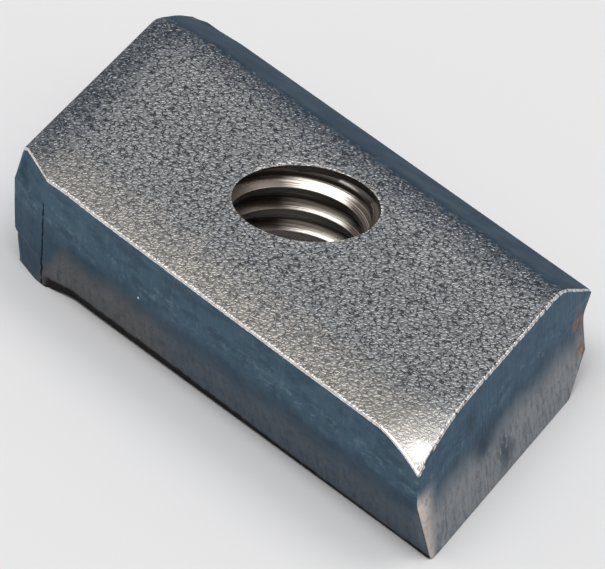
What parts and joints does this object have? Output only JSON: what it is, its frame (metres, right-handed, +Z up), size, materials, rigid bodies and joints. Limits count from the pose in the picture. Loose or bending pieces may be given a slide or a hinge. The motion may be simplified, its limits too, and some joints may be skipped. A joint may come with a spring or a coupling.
{
  "type": "channel nut",
  "caption": "Rhomboid steel channel nut: a thick plate with slanted ends, sheared sides and a tapped through hole that clamps a screw behind a slotted channel's lips.",
  "frame": {"origin": "on the axis of the tapped hole, at the underside of the nut", "axes": "+X along the long sides, towards the drawn-down sharp corner's end; +Z up along the hole, out of the top face with the grained finish"},
  "size_m": [0.0422, 0.0193, 0.006],
  "materials": {
    "steel": "bare stainless steel: fine orange-peel grain on top, burnished and torn bands on the sheared sides"
  },
  "bodies": {
    "root": {"channel_nut": "steel"}
  },
  "joints": []
}
